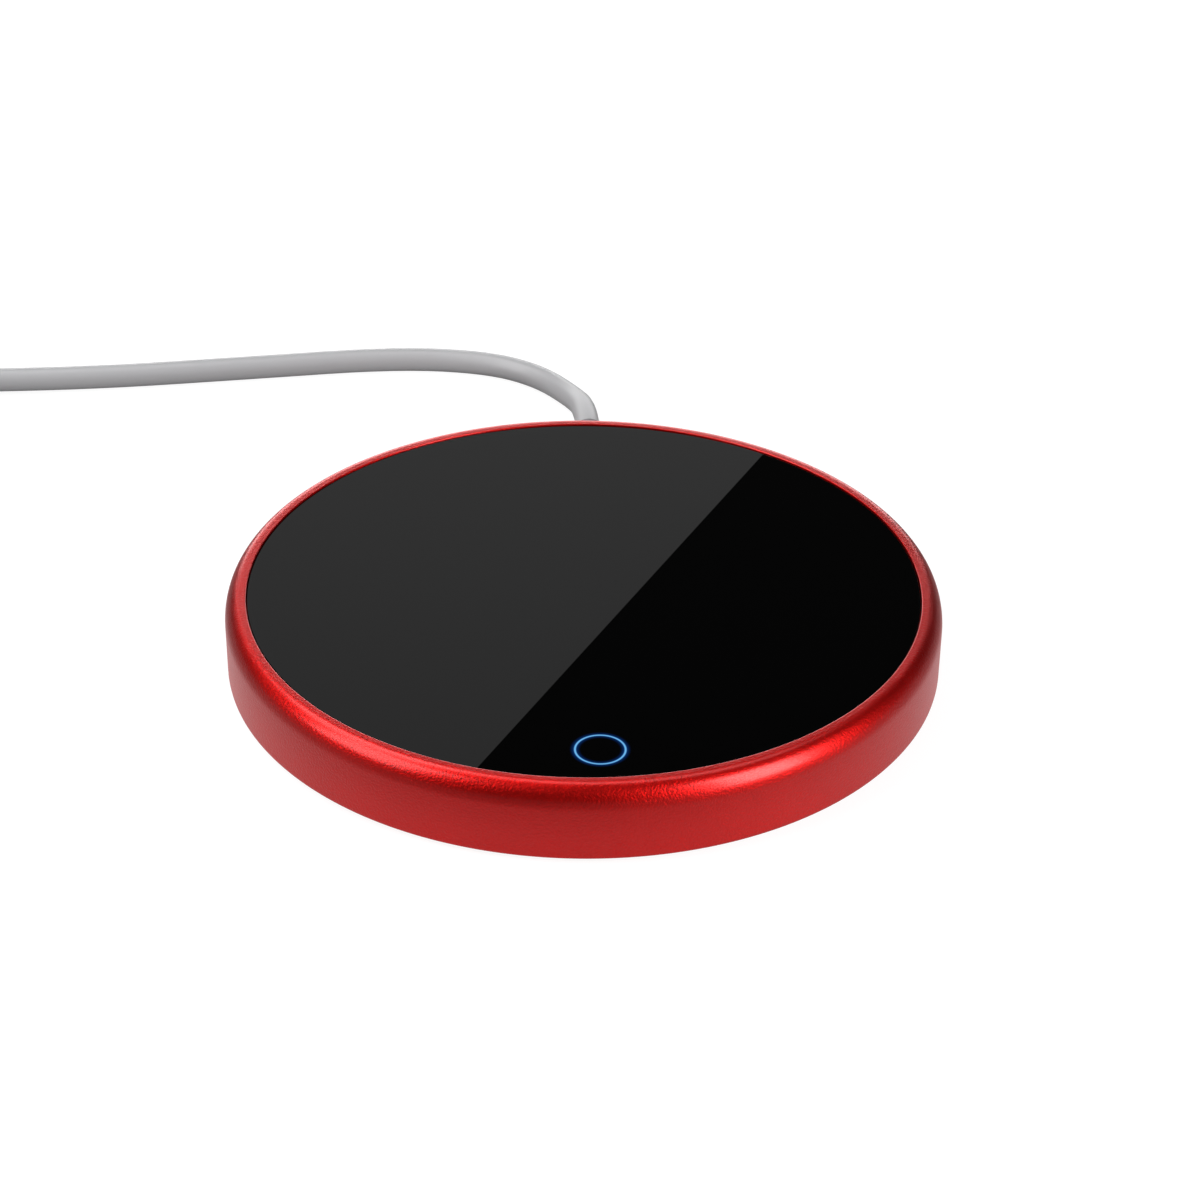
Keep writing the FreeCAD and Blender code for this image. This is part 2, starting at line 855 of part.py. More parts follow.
def make_clamp_screws():
    head_bottom = frame_bottom - clamp_ear_thickness - screw_head_height
    tip = frame_top - 2 * screw_tip_gap
    places = [cord_x + side * clamp_screw_spacing / 2 for side in (-1, 1)]
    return [screw(x, clamp_y, head_bottom, tip) for x in places]


def make_cord_run():
    return tube("cord_run", cord_route, cord_radius)


def coil_point(turn):
    """A point of the coil's middle line, from the turns wound since its start."""
    bottom = coil_tie_lift + cord_radius
    radius = coil_inner_radius + coil_step * abs(turn - coil_turns_in)
    climb = min(max((turn - coil_turns_in) / coil_climb_turns + 0.5, 0), 1)
    height = bottom + coil_step * (1 - math.cos(math.pi * climb)) / 2
    angle = math.pi / 2 + 2 * math.pi * turn
    return Vector(coil_x + radius * math.cos(angle), coil_y + radius * math.sin(angle), height)


def coil_heading(turn):
    ahead = coil_point(turn + coil_heading_step)
    heading = ahead.sub(coil_point(turn - coil_heading_step))
    heading.normalize()
    return heading


def biarc(start, start_heading, end, end_heading):
    """Two arcs that leave and arrive along the given headings and meet without a corner."""
    gap = end.sub(start)
    both = start_heading.add(end_heading)
    a = 2 * (1 - start_heading.dot(end_heading))
    b = 2 * gap.dot(both)
    reach = (math.sqrt(b * b + 4 * a * gap.dot(gap)) - b) / (2 * a)
    meeting = start.add(start_heading * reach).add(end.sub(end_heading * reach)) * 0.5
    return [tangent_arc(start, start_heading, meeting), tangent_arc(end, end_heading * -1, meeting)]


def tangent_arc(start, heading, end):
    """An arc from start along a heading to end, as its three points."""
    chord = end.sub(start)
    bulge = heading.sub(chord * (heading.dot(chord) / chord.Length ** 2))
    bulge.normalize()
    rise = chord.Length / 2 * math.tan(chord.getAngle(heading) / 2)
    return start, start.add(chord * 0.5).add(bulge * rise), end


def coil_path():
    turns = coil_turns_in + coil_turns_out
    steps = round(turns * coil_arcs_per_turn)
    edges = []
    for step in range(steps):
        first = turns * step / steps
        second = turns * (step + 1) / steps
        ends = (coil_point(first), coil_heading(first), coil_point(second), coil_heading(second))
        outward, inward = biarc(*ends)
        edges.append(Part.Arc(*outward).toShape())
        edges.append(Part.Arc(inward[2], inward[1], inward[0]).toShape())
    return Part.Wire(edges)


def least_coil_gap():
    """The least space between two stretches of the coil, measured on points along it."""
    per_turn = coil_checks_per_turn
    turns = coil_turns_in + coil_turns_out
    points = [coil_point(count / per_turn) for count in range(int(turns * per_turn) + 1)]
    least = coil_inner_radius
    for place, point in enumerate(points):
        for other in points[place + per_turn // 3:]:
            least = min(least, point.sub(other).Length - cord_diameter)
    return least


def make_cord_coil():
    path = coil_path()
    solid = swept(path, cord_radius, coil_point(0), coil_heading(0))
    share = solid.Volume / (math.pi * cord_radius * cord_radius * path.Length)
    print("cord_coil length", round(path.Length, 1), "volume share", round(share, 4))
    print("least gap of the coil to itself", round(least_coil_gap(), 2))
    return solid


def make_cord_tail():
    return tube("cord_tail", tail_route, cord_radius)


def make_cord_tie():
    """A soft band round all the turns at one place."""
    radii = [coil_inner_radius, coil_inner_radius + coil_step * coil_turns_in]
    low = radii[0] - cord_radius - tie_gap
    high = radii[1] + cord_radius + tie_gap
    inner_bottom = tie_thickness
    inner_top = coil_tie_lift + cord_diameter + coil_step + tie_gap
    length = high - low
    middle = (high + low) / 2
    inside = slab(middle, 0, length, tie_width, inner_bottom, inner_top)
    outside = slab(middle, 0, length + 2 * tie_thickness, tie_width, 0, inner_top + tie_thickness)
    band = rounded(outside, ALONG_Y, cord_radius).cut(rounded(inside, ALONG_Y, cord_radius - tie_thickness))
    band.rotate(Vector(0, 0, 0), UP, tie_angle)
    band.translate(Vector(coil_x, coil_y, 0))
    return band


def placed_plug(solid):
    """Moves a piece made along +X from the origin to the end of the cord's tail."""
    solid.rotate(Vector(0, 0, 0), UP, plug_heading)
    solid.translate(Vector(*tail_route[-1]))
    return solid


def make_plug_overmould():
    low = Vector(plug_boot_length, -plug_width / 2, -plug_height / 2)
    grip = block(low, low.add(Vector(plug_length, plug_width, plug_height)))
    grip = rounded(grip, ALONG_X, plug_corner)
    tip_radius = cord_radius + plug_boot_wall
    boot = Part.makeCone(tip_radius, plug_boot_radius, plug_boot_length, Vector(0, 0, 0), ALONG_X)
    return placed_plug(joined([grip, boot]))


def make_plug_shell():
    low = Vector(shell_start, -shell_width / 2, -shell_height / 2)
    high = low.add(Vector(shell_length, shell_width, shell_height))
    wall = Vector(0, shell_wall, shell_wall)
    outside = rounded(block(low, high), ALONG_X, shell_wall)
    inside = block(low.add(wall), high.sub(wall))
    windows = []
    for side in (-1, 1):
        x = shell_start + shell_window_place
        y = side * shell_window_spacing / 2
        windows.append(slab(x, y, shell_window, shell_window, -shell_height / 2, shell_height / 2))
    return placed_plug(without(outside, [inside] + windows))


def make_plug_tongue():
    half = shell_width / 2 - shell_wall
    bottom = shell_wall - shell_height / 2
    low = (shell_start, -half, bottom)
    high = (shell_start + shell_length - tongue_set_back, half, bottom + tongue_thickness)
    return placed_plug(block(low, high))


def make_plug_contacts():
    bottom = shell_wall - shell_height / 2 + tongue_thickness
    end = shell_start + shell_length - 2 * tongue_set_back
    contacts = []
    for count in range(contact_count):
        y = (count - (contact_count - 1) / 2) * contact_pitch
        low = (shell_start, y - contact_width / 2, bottom)
        high = (end, y + contact_width / 2, bottom + contact_thickness)
        contacts.append(placed_plug(block(low, high)))
    return contacts


PIECES = {
    "housing_ring": make_housing_ring,
    "glass_plate": make_glass_plate,
    "glass_print": make_glass_print,
    "ring_window": make_ring_window,
    "glass_adhesive": make_glass_adhesive,
    "thermal_bond": make_thermal_bond,
    "heat_spreader": make_heat_spreader,
    "heater_film": make_heater_film,
    "insulation_pad": make_insulation_pad,
    "inner_frame": make_inner_frame,
    "frame_screws": make_frame_screws,
    "touch_board": make_touch_board,
    "indicator_lamps": make_indicator_lamps,
    "light_guide": make_light_guide,
    "light_blocker": make_light_blocker,
    "touch_pad": make_touch_pad,
    "touch_flex": make_touch_flex,
    "touch_connector": make_touch_connector,
    "control_board": make_control_board,
    "board_screws": make_board_screws,
    "controller_chip": make_controller_chip,
    "power_transistors": make_power_transistors,
    "power_inductor": make_power_inductor,
    "filter_capacitors": make_filter_capacitors,
    "chip_resistors": make_chip_resistors,
    "wire_terminals": make_wire_terminals,
    "thermistor_bead": make_thermistor_bead,
    "thermistor_leads": make_thermistor_leads,
    "heater_leads": make_heater_leads,
    "thermostat_case": make_thermostat_case,
    "thermostat_base": make_thermostat_base,
    "thermostat_terminals": make_thermostat_terminals,
    "bimetal_blade": make_bimetal_blade,
    "thermostat_leads": make_thermostat_leads,
    "base_cover": make_base_cover,
    "cover_screws": make_cover_screws,
    "rubber_feet": make_rubber_feet,
    "strain_relief": make_strain_relief,
    "cord_entry": make_cord_entry,
    "power_wires": make_power_wires,
    "cable_clamp": make_cable_clamp,
    "clamp_screws": make_clamp_screws,
    "cord_run": make_cord_run,
    "cord_coil": make_cord_coil,
    "cord_tail": make_cord_tail,
    "cord_tie": make_cord_tie,
    "plug_overmould": make_plug_overmould,
    "plug_shell": make_plug_shell,
    "plug_tongue": make_plug_tongue,
    "plug_contacts": make_plug_contacts,
}


def main():
    os.makedirs("parts", exist_ok=True)
    for name, make in PIECES.items():
        made = make()
        shape = Part.makeCompound(made) if isinstance(made, list) else made
        shape.exportStep("parts/" + name + ".step")
        if not shape.isValid() or not shape.Solids:
            print(name, "is not a valid solid")


main()
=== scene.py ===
# %% [markdown]
# An electric mug warmer is a low metal ring that holds a black glass top, with a heater under the
# glass and a cable at the back. The frame brings every one of its solids at real size, so they could
# all be shown as they are. But solids have no colour and a coarse mesh. This file gives each of them
# its finish, replaces the few whose curves need a finer mesh, and lays the cable. Lengths are in
# metres, the origin is the middle of the disc on the table, and the lit touch key is at the front,
# on -Y.

# %% Load the frame
import bpy
import bmesh
import math
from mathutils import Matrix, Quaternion, Vector


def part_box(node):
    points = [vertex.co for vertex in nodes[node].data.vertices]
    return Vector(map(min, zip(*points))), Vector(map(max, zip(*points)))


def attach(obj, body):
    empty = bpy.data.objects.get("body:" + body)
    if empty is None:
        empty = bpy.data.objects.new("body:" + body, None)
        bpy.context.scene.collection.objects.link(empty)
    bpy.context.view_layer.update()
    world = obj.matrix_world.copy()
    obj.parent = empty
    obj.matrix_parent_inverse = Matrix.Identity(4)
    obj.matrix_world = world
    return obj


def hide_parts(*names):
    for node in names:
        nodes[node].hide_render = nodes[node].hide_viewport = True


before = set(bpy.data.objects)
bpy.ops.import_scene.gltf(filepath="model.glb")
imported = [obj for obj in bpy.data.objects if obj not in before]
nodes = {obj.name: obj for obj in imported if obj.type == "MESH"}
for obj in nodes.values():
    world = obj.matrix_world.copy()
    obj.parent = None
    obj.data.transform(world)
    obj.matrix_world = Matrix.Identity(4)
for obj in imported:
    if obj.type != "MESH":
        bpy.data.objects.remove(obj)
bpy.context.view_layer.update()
MM = 0.001
print("nodes in the frame:", len(nodes))

# %% [markdown]
# The camera comes first, because the put-away length of the cable has to lie outside its view. Its
# place could be typed in as three numbers, but two angles and a distance round the middle of the
# glass are what a photographer would note down, and each of them can be changed alone. The lamps
# are placed in the same way later on, so the helper for it is a function.

# %% Places round the object
def toward(elevation, azimuth, distance=1.0):
    """A place at two angles in degrees, the azimuth counted from the front towards the right."""
    level = math.cos(math.radians(elevation)) * distance
    turn = math.radians(azimuth)
    height = math.sin(math.radians(elevation)) * distance
    return Vector((math.sin(turn) * level, -math.cos(turn) * level, height))


glass_low, glass_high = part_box("glass_plate")
glass_centre = Vector((0, 0, glass_high.z))
print("middle of the glass:", [round(v, 5) for v in glass_centre])

# %% [markdown]
# A camera on a tripod is rarely level to a hair, so this one has a small roll, and it aims a little
# past the middle of the glass. Shifting the sensor sideways would do nearly the same, but turning
# the camera is what really happens. The lens and the distance belong together: a shorter lens from
# nearer by would fill the picture too, but would make the near rim bulge.

# %% Camera
CAMERA_DISTANCE = 451.7 * MM
CAMERA_ELEVATION = 31.32
CAMERA_AZIMUTH = -3.15
CAMERA_LENS = 88.23
CAMERA_CLIP = 10 * MM
AIM_RIGHT = math.radians(0.310)
AIM_DOWN = math.radians(0.294)
CAMERA_ROLL = math.radians(0.474)


def add_camera():
    back = toward(CAMERA_ELEVATION, CAMERA_AZIMUTH)
    turn = (-back).to_track_quat("-Z", "Y")
    turn = turn @ Quaternion((0, 1, 0), -AIM_RIGHT) @ Quaternion((1, 0, 0), -AIM_DOWN)
    turn = turn @ Quaternion((0, 0, 1), CAMERA_ROLL)
    camera = bpy.data.objects.new("camera", bpy.data.cameras.new("camera"))
    camera.data.lens = CAMERA_LENS
    camera.data.clip_start = CAMERA_CLIP
    camera.location = glass_centre + back * CAMERA_DISTANCE
    camera.rotation_mode = "QUATERNION"
    camera.rotation_quaternion = turn
    bpy.context.scene.collection.objects.link(camera)
    bpy.context.scene.camera = camera
    return camera


camera = add_camera()
print("camera at", [round(v, 3) for v in camera.location])

# %% [markdown]
# The cable leaves the boot, drops to the table, bends round to the left and runs to a coil of the
# length that is put away, and from there to the plug. The open stretches are listed points, the ones
# that the solids follow. They could be drawn from more points, but fewer give calmer bends.
# The points are in millimetres, and become metres where the curve is made.

# %% Cable route
CORD_DIAMETER = 4.2 * MM
CORD_RADIUS = CORD_DIAMETER / 2
CORD_EXIT = (4.0, 63.0, 5.2)
RUN_POINTS = [
    (4.0, 71.2, 5.2),
    (2.1, 81.2, 2.5),
    (-3.6, 90.3, 2.1),
    (-12.8, 96.0, 2.1),
    (-29.5, 98.4, 2.1),
    (-56.0, 95.4, 2.1),
    (-84.0, 92.4, 2.1),
    (-111.0, 91.0, 2.7),
]
print("points of the free stretch:", len(RUN_POINTS))

# %% [markdown]
# A cable is put away as a flat spiral in two layers, held by a tie. The turns could be points chosen
# by hand too, but a coil is regular, so a loop works them out. It spirals in on the lower layer,
# climbs to the upper one at its inside, and spirals out again.

# %% Cable coil
COIL_CENTRE = (-136.0, 57.6)
COIL_INNER_RADIUS = 17.4
COIL_STEP = 4.75
COIL_TURNS_IN = 3.25
COIL_TURNS_OUT = 3.0
COIL_CLIMB_TURNS = 0.5
COIL_FLOOR = 2.7
COIL_POINTS_PER_TURN = 24


def coil_point(turn):
    radius = COIL_INNER_RADIUS + COIL_STEP * abs(turn - COIL_TURNS_IN)
    climb = min(max((turn - COIL_TURNS_IN) / COIL_CLIMB_TURNS + 0.5, 0), 1)
    height = COIL_FLOOR + COIL_STEP * (1 - math.cos(math.pi * climb)) / 2
    angle = math.pi / 2 + 2 * math.pi * turn
    return (COIL_CENTRE[0] + radius * math.cos(angle), COIL_CENTRE[1] + radius * math.sin(angle), height)


coil_steps = int((COIL_TURNS_IN + COIL_TURNS_OUT) * COIL_POINTS_PER_TURN)
coil_points = [coil_point(step / COIL_POINTS_PER_TURN) for step in range(coil_steps + 1)]
print("points of the coil:", len(coil_points))

# %% [markdown]
# From the outer turn of the upper layer the cable comes down beside the coil and runs straight into
# the plug. These last points hang on the coil's own sizes, so the end stays joined to the coil.

# %% Cable tail
TAIL_X = COIL_CENTRE[0] - COIL_INNER_RADIUS - COIL_STEP * COIL_TURNS_OUT
TAIL_POINTS = [
    (TAIL_X, COIL_CENTRE[1] - 14.0, COIL_FLOOR + COIL_STEP),
    (TAIL_X + 0.6, COIL_CENTRE[1] - 30.0, 4.6),
    (TAIL_X + 3.2, COIL_CENTRE[1] - 46.0, 4.0),
    (TAIL_X + 5.6, COIL_CENTRE[1] - 58.0, 4.0),
]
cord_points = [CORD_EXIT] + RUN_POINTS + coil_points + TAIL_POINTS
print("route points:", len(cord_points))

# %% [markdown]
# The jacket is one soft round length, so it is one smooth curve with a round section. A mesh circle
# could be swept along the route, but a NURBS curve of order 3 stays smooth however few points it
# has, and its thickness stays one number. A curve's box reaches out by the radius of its points. So
# each point has the cable's own radius, and the bevel has a depth of one, which scales nothing.

# %% Cable
SECTION_STEPS = 7
ROUTE_STEPS = 6


def add_cable():
    curve = bpy.data.curves.new("cable", "CURVE")
    curve.dimensions = "3D"
    curve.bevel_depth = 1.0
    curve.bevel_resolution = SECTION_STEPS
    curve.resolution_u = ROUTE_STEPS
    curve.use_fill_caps = True
    spline = curve.splines.new("NURBS")
    spline.points.add(len(cord_points) - 1)
    for point, place in zip(spline.points, cord_points):
        point.co = (place[0] * MM, place[1] * MM, place[2] * MM, 1)
        point.radius = CORD_RADIUS
    spline.order_u = 3
    spline.use_endpoint_u = True
    cable = bpy.data.objects.new("cable", curve)
    bpy.context.scene.collection.objects.link(cable)
    return cable


cable = add_cable()
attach(cable, "warmer")
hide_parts("cord_run", "cord_coil", "cord_tail")
print("cable laid through", len(cable.data.splines[0].points), "points")

# %% [markdown]
# Every finish below is built from shader nodes. A sum of two values takes four calls when it is
# written out, so one short helper adds a math node and joins what it is given, be it a number or
# another node's output.

# %% Math node helper
def math_node(tree, operation, *values):
    node = tree.nodes.new("ShaderNodeMath")
    node.operation = operation
    for socket, value in zip(node.inputs, values):
        if isinstance(value, (int, float)):
            socket.default_value = value
        else:
            tree.links.new(value, socket)
    return node.outputs[0]


print("helper:", math_node.__name__)

# %% [markdown]
# No moulded, blasted or rolled surface is perfectly even. Each material could hold its own noises,
# but one shared group with named inputs keeps the grain of all of them comparable. It gives a
# height for the bump, from a fine noise alone, and a tone between 0 and 1, from the fine noise and
# a broad, slow one together. Its sizes are in metres.

# %% Fine grain group
FINE_DETAIL = 2
BROAD_DETAIL = 3
GRAIN_INPUTS = {"Grain Size": 0.0003, "Cloud Size": 0.02, "Grain Share": 0.5}


def new_grain_group():
    group = bpy.data.node_groups.new("Fine grain", "ShaderNodeTree")
    group.interface.new_socket("Vector", in_out="INPUT", socket_type="NodeSocketVector")
    for label, value in GRAIN_INPUTS.items():
        socket = group.interface.new_socket(label, in_out="INPUT", socket_type="NodeSocketFloat")
        socket.default_value = value
    for label in ("Height", "Tone"):
        group.interface.new_socket(label, in_out="OUTPUT", socket_type="NodeSocketFloat")
    return group


def sized_noise(group, given, size, detail):
    noise = group.nodes.new("ShaderNodeTexNoise")
    noise.inputs["Detail"].default_value = detail
    group.links.new(given.outputs["Vector"], noise.inputs["Vector"])
    group.links.new(math_node(group, "DIVIDE", 1.0, given.outputs[size]), noise.inputs["Scale"])
    return noise.outputs["Fac"]


def make_grain_group():
    group = new_grain_group()
    given = group.nodes.new("NodeGroupInput")
    result = group.nodes.new("NodeGroupOutput")
    fine = sized_noise(group, given, "Grain Size", FINE_DETAIL)
    broad = sized_noise(group, given, "Cloud Size", BROAD_DETAIL)
    share = given.outputs["Grain Share"]
    rest = math_node(group, "SUBTRACT", 1.0, share)
    part = math_node(group, "MULTIPLY", fine, share)
    group.links.new(fine, result.inputs["Height"])
    group.links.new(math_node(group, "MULTIPLY_ADD", broad, rest, part), result.inputs["Tone"])
    return group


grain_group = make_grain_group()
print("group made:", grain_group.name)

# %% [markdown]
# Colours are chosen as they look on a screen, in steps from 0 to 255, but a shader counts light. The
# first helper turns the one into the other. The second makes a colour a little darker or paler, for
# the two ends between which a finish varies.

# %% Colour helpers
def colour(red, green, blue):
    linear = []
    for value in (red / 255, green / 255, blue / 255):
        linear.append(value / 12.92 if value <= 0.04045 else ((value + 0.055) / 1.055) ** 2.4)
    return (*linear, 1.0)


def shade(tone, factor):
    return (*(min(value * factor, 1.0) for value in tone[:3]), 1.0)


print("mid grey as light:", round(colour(128, 128, 128)[0], 3))

# %% [markdown]
# A finish is a Principled shader whose colour, roughness and surface follow the shared grain. Values
# that are the same all over go straight on the shader's sockets. Grain, depth and cloud are given in
# millimetres: the width of a speck, how far it stands out, and the width of the slow unevenness.

# %% Finish helper
ROUGHNESS_LOW = 0.85
ROUGHNESS_SPAN = 0.3


def follow_grain(tree, shader, tone, roughness, spread, texture):
    mix = tree.nodes.new("ShaderNodeMix")
    mix.data_type = "RGBA"
    mix.inputs["A"].default_value = shade(tone, 1 - spread)
    mix.inputs["B"].default_value = shade(tone, 1 + spread)
    tree.links.new(texture.outputs["Tone"], mix.inputs["Factor"])
    tree.links.new(mix.outputs["Result"], shader.inputs["Base Color"])
    span = ROUGHNESS_SPAN * roughness
    rough = math_node(tree, "MULTIPLY_ADD", texture.outputs["Tone"], span, ROUGHNESS_LOW * roughness)
    tree.links.new(rough, shader.inputs["Roughness"])


def finish(name, tone, roughness, metallic=0.0, grain=0.3, depth=0.01, cloud=20, spread=0.12, plain=None):
    material = bpy.data.materials.new(name + "_finish")
    material.use_nodes = True
    tree = material.node_tree
    shader = tree.nodes["Principled BSDF"]
    shader.inputs["Metallic"].default_value = metallic
    for socket, value in (plain or {}).items():
        shader.inputs[socket].default_value = value
    texture = tree.nodes.new("ShaderNodeGroup")
    texture.node_tree = grain_group
    texture.inputs["Grain Size"].default_value = grain * MM
    texture.inputs["Cloud Size"].default_value = cloud * MM
    place = tree.nodes.new("ShaderNodeTexCoord")
    tree.links.new(place.outputs["Object"], texture.inputs["Vector"])
    follow_grain(tree, shader, tone, roughness, spread, texture)
    bump = tree.nodes.new("ShaderNodeBump")
    bump.inputs["Distance"].default_value = depth * MM
    tree.links.new(texture.outputs["Height"], bump.inputs["Height"])
    tree.links.new(bump.outputs["Normal"], shader.inputs["Normal"])
    return material


def paint(material, *names):
    for name in names:
        mesh = nodes[name].data
        mesh.materials.clear()
        mesh.materials.append(material)


print("roughness runs from", ROUGHNESS_LOW, "to", ROUGHNESS_LOW + ROUGHNESS_SPAN, "of its value")

# %% [markdown]
# The housing is aluminium that was blasted with fine beads and then dyed red in the anodising
# bath. The blasting leaves a fine sparkle, so the metal is rough with a small bump. The clear oxide
# layer over the dye gives a second, paler reflection, which is what a coat does. A red paint would
# need no metal under it, but it would lose the way that the red deepens where it faces away.

# %% Anodised red
OXIDE_LAYER = {"Coat Weight": 0.45, "Coat Roughness": 0.26, "Coat IOR": 1.55}
anodised_red = finish(
    "anodised_red", colour(200, 16, 13), 0.44, metallic=1.0,
    grain=0.34, depth=0.09, cloud=12, spread=0.16, plain=OXIDE_LAYER,
)
print("finish made:", anodised_red.name)

# %% [markdown]
# The touch key shows as a thin lit ring, a clear line in the black ink under the glass. The line
# could be a mesh of its own that glows, but seen through a thick glass it would need a refracting
# material and much more time. A line drawn by its distance from the key's middle gives the soft
# edge and the faint halo that the glass spreads beside it.

# %% Lit ring
RING_BLUE = colour(112, 182, 220)
GLOW_BLUE = colour(0, 56, 128)
LINE_CORE = 0.05 * MM
LINE_EDGE = 0.20 * MM
LINE_HALF_WIDTH = 0.2 * MM
GLOW_REACH = 0.85 * MM
GLOW_FALL = 2.0
ring_low, ring_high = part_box("ring_window")
key_centre = (ring_low + ring_high) / 2
line_radius = (ring_high.x - ring_low.x) / 2 - LINE_HALF_WIDTH


def distance_from_line(tree):
    """How far a point of the glass lies from the middle of the line, whatever its height."""
    place = tree.nodes.new("ShaderNodeTexCoord")
    flat = tree.nodes.new("ShaderNodeVectorMath")
    flat.operation = "MULTIPLY"
    flat.inputs[1].default_value = (1, 1, 0)
    tree.links.new(place.outputs["Object"], flat.inputs[0])
    offset = tree.nodes.new("ShaderNodeVectorMath")
    offset.operation = "DISTANCE"
    offset.inputs[1].default_value = (key_centre.x, key_centre.y, 0)
    tree.links.new(flat.outputs["Vector"], offset.inputs[0])
    return math_node(tree, "ABSOLUTE", math_node(tree, "SUBTRACT", offset.outputs["Value"], line_radius))


def fading_colour(tree, tone, distance, near, far, power=1.0):
    """A colour that is full up to the near distance and gone at the far one."""
    share = math_node(tree, "DIVIDE", math_node(tree, "SUBTRACT", far, distance), far - near)
    share = math_node(tree, "MAXIMUM", math_node(tree, "MINIMUM", share, 1.0), 0.0)
    node = tree.nodes.new("ShaderNodeVectorMath")
    node.operation = "SCALE"
    node.inputs[0].default_value = tone[:3]
    tree.links.new(math_node(tree, "POWER", share, power), node.inputs["Scale"])
    return node.outputs["Vector"]


print("key at", [round(v, 4) for v in key_centre], "line radius", round(line_radius, 5))

# %% [markdown]
# The top is clear glass with black ink on its back. Nothing under the ink shows, and all that is
# seen is the mirror image in the glass's face. Real transmission over a black sheet would give the
# same picture with far more noise, so the glass is one dark, perfectly smooth dielectric.

# %% Black glass
INK_BLACK = (0.0006, 0.0006, 0.0007, 1)
GLASS_IOR = 1.5


def make_black_glass():
    material = bpy.data.materials.new("black_glass")
    material.use_nodes = True
    tree = material.node_tree
    shader = tree.nodes["Principled BSDF"]
    shader.inputs["Base Color"].default_value = INK_BLACK
    shader.inputs["Roughness"].default_value = 0.0
    shader.inputs["IOR"].default_value = GLASS_IOR
    shader.inputs["Emission Strength"].default_value = 1.0
    away = distance_from_line(tree)
    both = tree.nodes.new("ShaderNodeVectorMath")
    both.operation = "ADD"
    tree.links.new(fading_colour(tree, RING_BLUE, away, LINE_CORE, LINE_EDGE), both.inputs[0])
    tree.links.new(fading_colour(tree, GLOW_BLUE, away, 0.0, GLOW_REACH, GLOW_FALL), both.inputs[1])
    tree.links.new(both.outputs["Vector"], shader.inputs["Emission Color"])
    return material


black_glass = make_black_glass()
print("finish made:", black_glass.name)

# %% [markdown]
# The ink and the clear line in it are thin solids of their own under the glass. They show only when
# the glass is taken off, so plain finishes do: a matt black, and a blue that glows evenly.

# %% Ink and ring window
black_print = finish("black_print", colour(3, 3, 4), 0.6, spread=0.3)
LINE_LIGHT = {"Emission Color": RING_BLUE, "Emission Strength": 1.0}
blue_light = finish("blue_light", RING_BLUE, 0.5, spread=0.04, plain=LINE_LIGHT)
paint(black_print, "glass_print")
paint(blue_light, "ring_window")

# %% [markdown]
# The cover, the inner frame and the clamp are moulded in black plastic with a fine spark-eroded
# grain, and the feet and the cable tie are of a duller rubber. The connectors and the plug's tongue
# are white plastic, and the lamps and their guide are frosted. The grain of a moulding could be
# modelled, but at less than half a millimetre only its effect on the gloss is seen, so it is a bump.

# %% Moulded plastics and rubber
black_plastic = finish("black_plastic", colour(30, 30, 32), 0.55, grain=0.4, depth=0.02)
black_rubber = finish("black_rubber", colour(24, 24, 25), 0.75, grain=0.5, depth=0.02)
white_plastic = finish("white_plastic", colour(226, 226, 222), 0.45, depth=0.004, spread=0.03)
frosted_guide = finish("frosted_guide", colour(222, 230, 236), 0.5, depth=0.004, spread=0.03)
paint(black_plastic, "inner_frame", "base_cover", "cable_clamp")
paint(black_rubber, "rubber_feet", "cord_tie")
paint(white_plastic, "touch_connector", "wire_terminals", "plug_tongue")
paint(frosted_guide, "indicator_lamps", "light_guide")

# %% [markdown]
# The cable's jacket and the plug's body are the same soft light grey, and the boot where the cable
# leaves the housing is a darker one. A soft moulding is satin rather than matt, with hardly any
# grain. The two cores inside have red insulation. One material for jacket and plug keeps them alike.

# %% Cable jacket and boot
cable_grey = finish("cable_grey", colour(164, 164, 166), 0.42, grain=0.5, depth=0.006, spread=0.03)
boot_grey = finish("boot_grey", colour(92, 86, 92), 0.5, grain=0.4, depth=0.008)
red_wire = finish("red_wire", colour(176, 28, 26), 0.4, depth=0.004)
paint(cable_grey, "cord_entry", "plug_overmould")
paint(boot_grey, "strain_relief")
paint(red_wire, "power_wires")
cable.data.materials.append(cable_grey)

# %% [markdown]
# Seven bare metals are inside or at the plug: zinc plated screws, nickel and gold at the plug,
# rolled aluminium, brass strips, the bimetal blade and tinned copper leads. They differ in colour
# and in how sharply they mirror, from the bright nickel to the tinned wire. Polished and brushed
# surfaces could have scratches of their own, but on pieces this small the grain is enough.

# %% Bare metals
zinc_steel = finish("zinc_steel", colour(190, 190, 188), 0.32, 1.0, grain=0.2, depth=0.004)
bright_nickel = finish("bright_nickel", colour(205, 203, 200), 0.18, 1.0, grain=0.4, depth=0.002)
gold_plate = finish("gold_plate", colour(226, 180, 92), 0.22, 1.0, depth=0.001)
rolled_aluminium = finish("rolled_aluminium", colour(200, 202, 205), 0.3, 1.0, cloud=8, depth=0.004)
brass = finish("brass", colour(205, 165, 90), 0.3, 1.0, depth=0.002)
blade_metal = finish("blade_metal", colour(170, 164, 158), 0.3, 1.0, depth=0.002)
tinned_copper = finish("tinned_copper", colour(196, 192, 186), 0.35, 1.0, depth=0.003)
paint(zinc_steel, "frame_screws", "board_screws", "cover_screws", "clamp_screws")
paint(bright_nickel, "plug_shell")
paint(gold_plate, "plug_contacts")
paint(rolled_aluminium, "heat_spreader", "thermostat_case")
paint(brass, "thermostat_terminals")
paint(blade_metal, "bimetal_blade")
paint(tinned_copper, "thermistor_leads", "heater_leads", "thermostat_leads")

